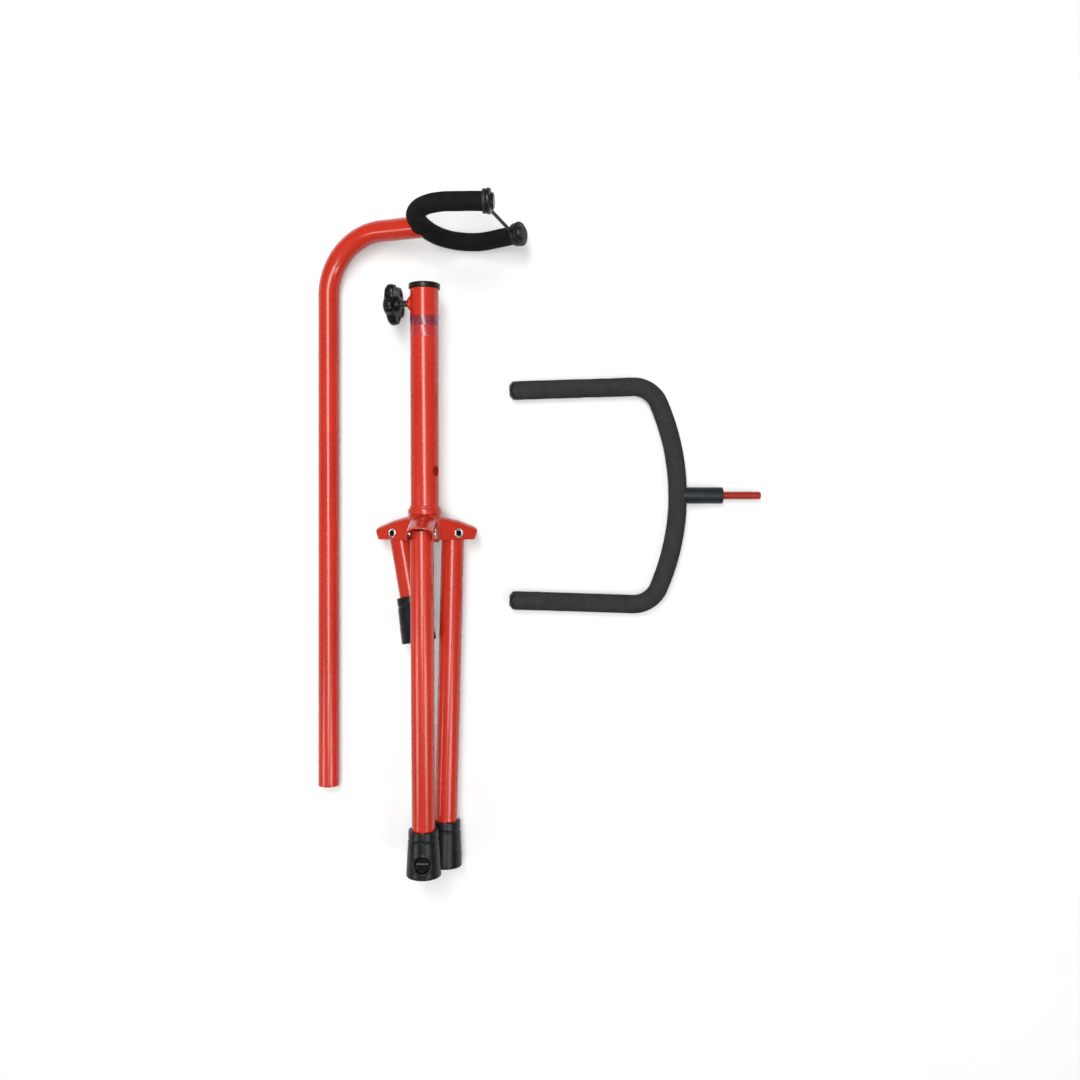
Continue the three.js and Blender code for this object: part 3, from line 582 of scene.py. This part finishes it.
def weld_bead(radius, height, size, ripples, seed):
    """A ring of weld along the tube's surface, with ripples, about half as thick as it is tall."""
    angles = [TAU * k / 12 for k in range(12)]
    outline = [(radius + size * 0.55 * math.cos(a), height + size * math.sin(a)) for a in angles]

    def ripple(r, s, a):
        wave = 0.5 + 0.5 * math.cos(ripples * a + 0.8 * math.sin(3 * a + seed))
        bulge = 1 + 0.22 * wave + 0.10 * math.sin(5 * a + seed)
        return radius + (r - radius) * bulge, height + (s - height) * bulge

    return along(outline, ripples * 5, shape=ripple)


weld_height = COLLAR_BASE + COLLAR_HEIGHT + WELD_LIFT
mesh_object("collar_weld", weld_bead(main_radius + 0.2, weld_height, WELD_SIZE, WELD_RIPPLES, 1.0),
            BASE, RED, "base")

# A plain film label in two tones, wrapped round the tube below the clamp.
label_bands = (
    ("dark", LABEL_SPLIT, LABEL_TOP, DARK_LABEL),
    ("light", LABEL_BOTTOM, LABEL_SPLIT, LIGHT_LABEL),
)
film_face, film_back = main_radius + LABEL_FILM, main_radius - 0.2
for name, low, high, film in label_bands:
    label = filleted([(film_back, low), (film_face, low, 0.04), (film_face, high, 0.04), (film_back, high)],
                     steps=2)
    mesh_object(f"plain_label_{name}", along(label, TUBE_SIDES), BASE, film, "base")

# ---------------------------------------------------------------- clamp

clamp_place = outwards(CLAMP_AZIMUTH, CLAMP_HEIGHT)
boss = filleted([
    (SCREW_D / 2 + GAP, BOSS_ROOT), (BOSS_BASE_D / 2, BOSS_ROOT), (BOSS_BASE_D / 2, main_radius + 0.4, 0.6),
    (BOSS_TIP_D / 2, BOSS_REACH, 0.7), (SCREW_D / 2 + GAP, BOSS_REACH, 0.3),
], steps=4)
mesh_object("boss_cone", along(boss, BOLT_SIDES), clamp_place, RED, "base", ["clamp_boss"])


def thread(length, radius, depth, pitch, start, chamfer, sides=48):
    """A threaded rod, with its ridge running round as one helix."""
    outline = [(0, start)]
    count = int(length / (pitch / 8))
    outline += [(radius, start + length * k / count) for k in range(count + 1)]
    outline.append((0, start + length))

    def ridge(r, s, a):
        if r == 0:
            return r, s
        phase = ((s - start) / pitch - a / TAU) % 1.0
        tooth = abs(phase - 0.5) * 2
        near = min(1.0, (s - start) / chamfer)
        return (radius - depth * (1 - tooth)) * (0.72 + 0.28 * near), s

    return along(outline, sides, closed=False, shape=ridge)


stud = thread(SCREW_LENGTH - 1, SCREW_D / 2 - 0.02, SCREW_DEPTH, SCREW_PITCH, SCREW_TIP, chamfer=1.0)
mesh_object("stud_thread", stud, clamp_place, DARK_STEEL, "clamp", ["clamp_screw"])


def knob_part():
    """A lobed knob with a hub towards the boss and a finely fluted rim."""
    inner, outer = KNOB_INNER_FACE, KNOB_INNER_FACE + KNOB_THICKNESS
    rim = KNOB_D / 2
    screw = SCREW_D / 2 + 0.15
    # The hub, the inner face, the rim, the outer face, and the raised middle.
    outline = filleted([
        (screw, inner - KNOB_HUB_REACH, 0.3), (KNOB_HUB_D / 2 - 1.5, inner - KNOB_HUB_REACH, 0.8),
        (KNOB_HUB_D / 2 + 0.3, inner + 1.4, 0.9), (rim - 4.6, inner + 1.2, 0.8), (rim - 3.6, inner, 0.9),
        (rim - 0.9, inner + 0.3, 1.3), (rim, inner + 2.6, 2.0), (rim, outer - 2.8, 2.2),
        (rim - 2.6, outer - 0.3, 1.9), (rim - 6.0, outer, 1.0), (rim - 7.2, outer - 1.3, 0.8),
        (5.2, outer - 1.6, 1.0), (3.6, outer - 0.5, 0.8), (0, outer - 0.4),
        (0, outer - 3.0), (screw, outer - 3.0),
    ], closed=True, steps=5)
    outline = stepped(outline, 0.9)

    def lobed(r, s, a):
        weight = min(1.0, max(0.0, (r - KNOB_LOBE_START) / (rim - KNOB_LOBE_START))) ** 1.5
        pinch = KNOB_LOBE_DEPTH * (0.5 - 0.5 * math.cos(KNOB_LOBES * a)) ** 1.4
        flute = KNOB_FLUTE_DEPTH * (0.5 + 0.5 * math.cos(KNOB_FLUTES * a)) ** 2 if r > rim - 1.5 else 0.0
        return r - weight * pinch - flute, s

    return along(outline, KNOB_SIDES, shape=lobed)


mesh_object("knob_moulding", knob_part(), clamp_place, KNOB_BLACK, "clamp", ["clamp_knob"])

# ---------------------------------------------------------------- hub


def softened(node, name, material, body):
    """A copy of a CAD solid with evenly rounded edges, as pressed and painted sheet has.
    Its corners are joined first, so that the surface is closed."""
    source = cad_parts[node]
    piece = bpy.data.objects.new(name, source.data.copy())
    bpy.context.scene.collection.objects.link(piece)
    bm = bmesh.new()
    bm.from_mesh(piece.data)
    bmesh.ops.remove_doubles(bm, verts=bm.verts, dist=2e-6)
    bm.to_mesh(piece.data)
    bm.free()
    remesh = piece.modifiers.new("remesh", "REMESH")
    remesh.mode = "VOXEL"
    remesh.voxel_size = HUB_VOXEL * MM
    smooth = piece.modifiers.new("smooth", "SMOOTH")
    smooth.factor = 0.5
    smooth.iterations = HUB_SMOOTHINGS
    mesh = evaluated_mesh(piece)
    shade_smooth(mesh)
    mesh.materials.clear()
    mesh.materials.append(material)
    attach(piece, body)
    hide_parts(node)


softened("leg_hub", "hub_pressing", RED, "base")


def rivet_part():
    """A hollow rivet with a low head on each outer face of the channel."""
    seat = LEG_D / 2 + GAP + CHANNEL_SHEET + FIT
    face = seat + RIVET_HEAD_HEIGHT
    inner, shank, head = RIVET_BORE / 2, RIVET_D / 2, RIVET_HEAD_D / 2
    outline = filleted([
        (inner, -face + 0.2, 0.8), (head - 0.7, -face, 0.7), (head, -seat, 0.5), (shank, -seat, 0.2),
        (shank, seat, 0.2), (head, seat, 0.5), (head - 0.7, face, 0.7), (inner, face - 0.2, 0.8),
    ], steps=6)
    return along(outline, BOLT_SIDES)


for leg in AZIMUTH:
    place = pivot_place(leg) @ Matrix.Rotation(math.pi / 2, 4, "X")
    rivet = mesh_object(f"{leg}_rivet_turned", rivet_part(), place, STEEL, "base", [f"{leg}_rivet"])
    way = (place.to_3x3() @ Vector((0, 0, 1))).normalized()
    # The faces inside the bore take the dark steel: painted shade in the hole.
    add_inner_material(rivet, BORE_SHADE_STEEL, place.translation * MM, way, (RIVET_BORE / 2 + 0.25) * MM)

# ---------------------------------------------------------------- legs and feet


def leg_part(length):
    """A tube whose top is cut to a round eye about the pivot, down to a shoulder on both sides."""
    outer, inner = LEG_D / 2, LEG_D / 2 - LEG_WALL
    bottom = -length + FOOT_SOLE + GAP + FIT
    eye = LEG_EYE_D / 2

    def top(r, a):
        x = r * math.cos(a)
        return max(LEG_SHOULDER, math.sqrt(max(0.0, eye * eye - x * x)))

    outline = stepped([(outer, bottom), (outer, 1.0), (inner, 1.0), (inner, bottom)], 60)

    def shape(r, s, a):
        return (r, top(r, a)) if s == 1.0 else (r, s)

    return along(outline, LEG_SIDES, shape=shape)


def foot_part(length):
    """A tapered moulded cup with a round recess in the side that faces outwards."""
    top = -length + FOOT_LENGTH
    rim, sole = FOOT_TOP_D / 2, FOOT_END_D / 2
    pocket = LEG_D / 2 + 0.06
    groove_foot, groove_low, groove_high, groove_head = top - 9.2, top - 8.3, top - 7.5, top - 6.6
    outline = filleted([
        (0, -length + 0.25), (sole - 4.6, -length + 0.25), (sole - 3.8, -length, 0.3), (sole, -length, 2.0),
        (rim + 0.5, groove_foot, 0.4), (rim - 0.2, groove_low, 0.3), (rim - 0.2, groove_high, 0.3),
        (rim + 0.35, groove_head, 0.4), (rim, top, 0.8), (pocket, top, 0.5), (pocket, -length + FOOT_SOLE),
        (0, -length + FOOT_SOLE),
    ], closed=False, steps=5)
    fine = []
    for (r0, z0), (r1, z1) in zip(outline, outline[1:]):
        recess_side = min(r0, r1) > rim - 1 and abs((z0 + z1) / 2 + length - FOOT_RECESS_HEIGHT) < 30
        pieces = max(1, int(math.hypot(r1 - r0, z1 - z0) / 0.4)) if recess_side else 1
        fine += [(r0 + (r1 - r0) * k / pieces, z0 + (z1 - z0) * k / pieces) for k in range(pieces)]
    fine.append(outline[-1])
    middle = -length + FOOT_RECESS_HEIGHT
    floor = (rim + sole) / 2 + 0.4 - FOOT_RECESS_DEPTH - 0.9
    radius = FOOT_RECESS_D / 2

    def recess(r, s, a):
        if r < rim - 1:
            return r, s
        turn = (a + math.pi) % TAU - math.pi
        y = r * math.sin(turn)
        if abs(turn) > 1.2 or abs(s - middle) > radius + 2:
            return r, s
        distance = math.hypot(y, s - middle)
        inside = min(1.0, max(0.0, (radius + RECESS_EDGE / 2 - distance) / RECESS_EDGE))
        inside = inside * inside * (3 - 2 * inside)
        bar = 0.0
        if distance < radius - 1.2:
            bar = RECESS_BAR * min(1.0, max(0.0, (RECESS_BAR_HALF - abs(s - middle)) / 0.5))
        target = (floor + bar) / max(math.cos(turn), 0.5)
        lip = RECESS_LIP * math.exp(-((distance - radius - 1.0) / 0.7) ** 2)
        return r + (min(target, r) - r) * inside + lip, s

    return along(fine, FOOT_SIDES, closed=False, shape=recess)


for leg, length in (("left", LONG_LEG), ("right", LONG_LEG), ("rear", SHORT_LEG)):
    place = leg_place(leg)
    body = f"{leg}_leg"
    tube = mesh_object(f"{leg}_leg_tube", leg_part(length), place, RED, body, [f"{leg}_leg"])
    pivot = place @ Matrix.Rotation(math.pi / 2, 4, "X")
    cut_with(tube, drill(RIVET_D + GAP, -LEG_D, LEG_D, BAR_SIDES, pivot))
    foot = mesh_object(f"{leg}_foot_moulding", foot_part(length), place, RUBBER, body, [f"{leg}_foot"])
    # The faces inside the recess take the darker rubber: painted shade in the hollow.
    centre = place @ Vector(((FOOT_TOP_D + FOOT_END_D) / 4, 0, -length + FOOT_RECESS_HEIGHT)) * MM
    way = (place.to_3x3() @ Vector((1, 0, 0))).normalized()
    add_inner_material(foot, RECESS_SHADE_RUBBER, centre, way, (FOOT_RECESS_D / 2 - 0.1) * MM,
                       near=-4.5 * MM, far=-0.6 * MM)

# ---------------------------------------------------------------- neck piece

neck = neck_path()
neck_radius = NECK_D / 2
neck_bore = neck_radius - NECK_WALL
neck_end = neck.length - COPE_MARGIN
neck_outline = stepped(filleted([
    (neck_radius, 0, NECK_RIM), (neck_radius, neck_end), (neck_bore, neck_end), (neck_bore, 0, NECK_RIM),
], steps=3), 1.8)


def coped(r, s, a):
    """The tube's upper end is shaped to sit against the round foam."""
    start = neck.length - COPE_ZONE
    if s < start:
        return r, s
    reach = YOKE_FOAM_D / 2 + 0.15
    offset = r * math.cos(a)
    end = neck.length - math.sqrt(max(0.0, reach * reach - offset * offset))
    return r, start + (s - start) * (end - start) / (COPE_ZONE - COPE_MARGIN)


mesh_object("neck_tube_skin", along(neck_outline, TUBE_SIDES, neck, shape=coped), NECK, RED, "neck_piece",
            ["neck_tube"])


def sleeve_part(path, outer, inner, rounding, swell, seed, crease=0.0):
    """A foam sleeve on a bent rod, slightly uneven, with soft ends."""
    outline = stepped(filleted([
        (outer, 0, rounding), (outer, path.length, rounding), (inner, path.length, 0.4), (inner, 0, 0.4),
    ], steps=5), 1.6)

    def uneven(r, s, a):
        if r < outer - rounding - 0.5:
            return r, s
        point, _, normal, side = path.station(s)
        here = Vector(point + outer * (math.cos(a) * normal + math.sin(a) * side))
        soft = noise.noise(here * SWELL_SCALE + Vector((seed, 0, 0))) * swell
        small = noise.noise(here * DIMPLE_SCALE + Vector((0, seed, 0))) * swell * 0.35
        ahead = path.station(min(s + 2, path.length))[1]
        behind = path.station(max(s - 2, 0))[1]
        bend = float(np.dot(ahead - behind, normal)) / 4
        squeeze = max(0.0, math.cos(a) * math.copysign(1, bend)) if abs(bend) > 0.005 else 0.0
        folds = 0.5 + 0.5 * math.sin(s * FOLD_SCALE + 1.2 * math.sin(s * FOLD_DRIFT))
        wrinkle = crease * squeeze * abs(bend) * 30 * folds
        return r - abs(soft) - small * 0.5 - wrinkle, s

    return along(outline, SLEEVE_SIDES, path, shape=uneven)


def bent_rod_part(path, diameter, proud, step):
    """A rod along a path, standing proud of both its ends."""
    radius = diameter / 2
    outline = filleted([
        (0, -proud), (radius, -proud, 0.5), (radius, path.length + proud, 0.5), (0, path.length + proud),
    ], closed=False, steps=3)
    return along(stepped(outline, step, closed=False), BAR_SIDES, path, closed=False)


yoke_sleeve = sleeve_part(YOKE_PATH, YOKE_FOAM_D / 2 + 0.1, YOKE_ROD_D / 2 + FIT, rounding=1.2, swell=0.35,
                          seed=3.0, crease=0.30)
yoke_foam = mesh_object("yoke_foam_sleeve", yoke_sleeve, YOKE_PLACE, YOKE_FOAM, "neck_piece", ["yoke_foam"],
                        sharp=FOAM_CREASE_ANGLE)

yoke_rod = bent_rod_part(YOKE_PATH, YOKE_ROD_D, YOKE_ROD_PROUD, 2.5)
mesh_object("yoke_rod_steel", yoke_rod, YOKE_PLACE, STEEL, "neck_piece", ["yoke_rod"])

plug = neck_bore - FIT
back = YOKE_FOAM_D / 2 + 1.5
stem = filleted([
    (0, YOKE_STEM_ROOT), (YOKE_STEM_D / 2, YOKE_STEM_ROOT), (YOKE_STEM_D / 2, back, 0.4), (plug, back, 0.5),
    (plug, YOKE_STEM_DEPTH, 0.8), (0, YOKE_STEM_DEPTH),
], closed=False, steps=4)
stem_place = YOKE_PLACE @ Matrix.Rotation(math.pi / 2, 4, "Y")
mesh_object("yoke_stem_plug", along(stem, BOLT_SIDES, closed=False), stem_place, STEEL, "neck_piece",
            ["yoke_stem"])


def end_place(path, last):
    """Place of a piece built along +Z that points out of one end of a path."""
    point, direction = path.station(path.length if last else 0.0)[:2]
    way = Vector(direction) * (1 if last else -1)
    turn = Vector((0, 0, 1)).rotation_difference(way)
    return Matrix.Translation(Vector(point)) @ turn.to_matrix().to_4x4()


def end_caps(rod, part, path, place, body):
    """One cap on each end of a bent rod."""
    for name, last in (("lower", False), ("upper", True)):
        mesh_object(f"{rod}_cap_{name}_moulding", part, place @ end_place(path, last), BLACK, body,
                    [f"{rod}_cap_{name}"])


inner, rim = YOKE_ROD_D / 2 + FIT, YOKE_FLANGE_D / 2
yoke_cap = filleted([
    (inner, 0.25), (rim, 0.25, 0.7), (rim, 3.2, 1.1), (rim - 3.2, 3.7, 0.8),
    (rim - 4.4, YOKE_CAP_LENGTH, 1.6), (0, YOKE_CAP_LENGTH), (0, 4.4), (inner, 4.4),
], steps=6)
end_caps("yoke", along(yoke_cap, CAP_SIDES), YOKE_PATH, YOKE_PLACE, "neck_piece")


def strap_part():
    """Two rings and the cord between them, moulded as one."""
    inner, outer = YOKE_FOAM_D / 2 + FIT, STRAP_RING_D / 2
    band = filleted([
        (inner, -STRAP_RING_WIDTH, 0.3), (outer, -STRAP_RING_WIDTH, 0.9), (outer, 0, 0.9), (inner, 0, 0.3),
    ], steps=5)
    rings = [moved(along(band, CAP_SIDES), end_place(YOKE_PATH, last)) for last in (False, True)]
    point, direction = YOKE_PATH.station(YOKE_PATH.length)[:2]
    toe = YOKE["toe"]
    root = Vector((math.sin(toe), -math.cos(toe), 0)) * ((inner + outer) / 2) + Vector(point)
    root -= Vector(direction) * STRAP_RING_WIDTH / 2
    half = root.y
    radius = STRAP_CORD_D / 2
    outline = [(0, -half - STRAP_SINK)]
    outline += [(radius, -half + 2 * half * k / STRAP_STEPS) for k in range(STRAP_STEPS + 1)]
    outline.append((0, half + STRAP_SINK))

    def waist(r, s, a):
        if r == 0:
            return r, s
        flare = math.exp(-(half - abs(s)) / 2.2)
        return radius * (0.86 + 0.55 * flare), s

    cord = along(outline, BAR_SIDES, closed=False, shape=waist)
    place = Matrix.Translation((root.x, 0, 0)) @ Matrix.Rotation(-math.pi / 2, 4, "X")
    return merged(*rings, moved(cord, place))


mesh_object("strap_moulding", strap_part(), YOKE_PLACE, STRAP_BLACK, "neck_piece", ["security_strap"])

# ---------------------------------------------------------------- cradle

cradle_sleeve = sleeve_part(CRADLE_PATH, CRADLE_FOAM_D / 2 + FIT, CRADLE_ROD_D / 2 + FIT, rounding=1.0,
                            swell=0.35, seed=9.0, crease=0.22)
cradle_foam = mesh_object("cradle_foam_sleeve", cradle_sleeve, CRADLE_PLACE, CRADLE_FOAM, "cradle",
                          ["cradle_foam"], sharp=FOAM_CREASE_ANGLE)

cradle_rod = bent_rod_part(CRADLE_PATH, CRADLE_ROD_D, CRADLE_ROD_PROUD, 3.0)
mesh_object("cradle_rod_steel", cradle_rod, CRADLE_PLACE, STEEL, "cradle", ["cradle_rod"])

inner, rim = CRADLE_ROD_D / 2 + FIT, CRADLE_FOAM_D / 2
cradle_cap = filleted([
    (inner, 0.1), (rim, 0.1, 0.3), (rim, 1.0, 0.6), (rim - 3.4, CRADLE_CAP_LENGTH, 0.9),
    (0, CRADLE_CAP_LENGTH), (0, 2.6), (inner, 2.6),
], steps=6)
end_caps("cradle", along(cradle_cap, SLEEVE_SIDES), CRADLE_PATH, CRADLE_PLACE, "cradle")

along_x = CRADLE_PLACE @ Matrix.Rotation(math.pi / 2, 4, "Y")
seat = CRADLE_FOAM_D / 2
stem_bore = PIN_D / 2 + 0.1
stem_sleeve = filleted([
    (stem_bore, seat), (STEM_SLEEVE_D / 2, seat), (STEM_SLEEVE_D / 2, STEM_SLEEVE_END, 0.7),
    (stem_bore, STEM_SLEEVE_END, 0.5),
], steps=5)


def saddled(r, s, a):
    """The sleeve's near end is shaped to the round foam behind it."""
    if s > seat + 0.01:
        return r, s
    across = r * math.cos(a)
    return r, math.sqrt(max(0.0, seat * seat - across * across)) + 0.15


mesh_object("stem_sleeve_moulding", along(stem_sleeve, TUBE_SIDES, shape=saddled), along_x, SLEEVE_BLACK,
            "cradle", ["stem_sleeve"])

pin = filleted([
    (0, PIN_ROOT), (PIN_D / 2, PIN_ROOT), (PIN_D / 2, PIN_END, 2.2), (0, PIN_END),
], closed=False, steps=8)
mesh_object("pin_steel", along(pin, 48, closed=False), along_x, PIN_RED, "cradle", ["cradle_pin"])

# ---------------------------------------------------------------- floor, light and camera

FLOOR_HALF, FLOOR_DROP = 4.0, 0.0002
floor_mesh = bpy.data.meshes.new("floor")
corners = [(x * FLOOR_HALF, y * FLOOR_HALF, 0) for x, y in ((-1, -1), (1, -1), (1, 1), (-1, 1))]
floor_mesh.from_pydata(corners, [], [(0, 1, 2, 3)])
floor_mesh.materials.append(floor_paper())
floor = bpy.data.objects.new("floor", floor_mesh)
floor.location = (0, 0, -FLOOR_DROP)
bpy.context.scene.collection.objects.link(floor)


def soft_light(name, place, aim, size, power, shadows=True):
    """A rectangular lamp at a place, turned to an aim. Places and sizes are in metres, power in watts."""
    light = bpy.data.lights.new(name, "AREA")
    light.use_shadow = shadows
    light.shape = "RECTANGLE"
    light.size, light.size_y = size
    light.energy = power
    lamp = bpy.data.objects.new(name, light)
    lamp.location = place
    lamp.rotation_euler = (Vector(aim) - Vector(place)).to_track_quat("-Z", "Y").to_euler()
    bpy.context.scene.collection.objects.link(lamp)


# The overhead lamp is in two: one throws the soft shadows and the other fills them.
OVERHEAD = dict(place=(-0.20, 0.42, 2.2), aim=(-0.05, 0.05, 0.0), size=(0.65, 2.2))
SIDE_AIM = (-0.1, -0.2, 0.0)
soft_light("overhead", power=58, **OVERHEAD)
soft_light("overhead_fill", power=25, shadows=False, **OVERHEAD)
soft_light("left_low", (-2.4, -0.9, 1.9), SIDE_AIM, (0.7, 1.3), 21)
soft_light("right_low", (1.3, -0.8, 2.0), SIDE_AIM, (0.5, 1.1), 15)

WORLD_STRENGTH = 0.12
world = bpy.data.worlds.new("studio")
world.use_nodes = True
background = world.node_tree.nodes["Background"]
background.inputs["Color"].default_value = (1, 1, 1, 1)
background.inputs["Strength"].default_value = WORLD_STRENGTH
scene = bpy.context.scene
scene.world = world
scene.view_settings.view_transform = "Standard"
scene.view_settings.look = "None"
scene.view_settings.exposure = 0.0

# The camera looks straight down. Places are in metres, lens and sensor in millimetres.
CAMERA_POINT, CAMERA_HEIGHT, CAMERA_NEAREST = (0.00025, 0.00247), 1.0, 0.05
SENSOR_WIDTH, LENS = 36.0, 36.04
camera = bpy.data.cameras.new("camera")
camera.sensor_width = SENSOR_WIDTH
camera.lens = LENS
camera.clip_start = CAMERA_NEAREST
viewer = bpy.data.objects.new("camera", camera)
viewer.location = (*CAMERA_POINT, CAMERA_HEIGHT)
bpy.context.scene.collection.objects.link(viewer)
scene.camera = viewer
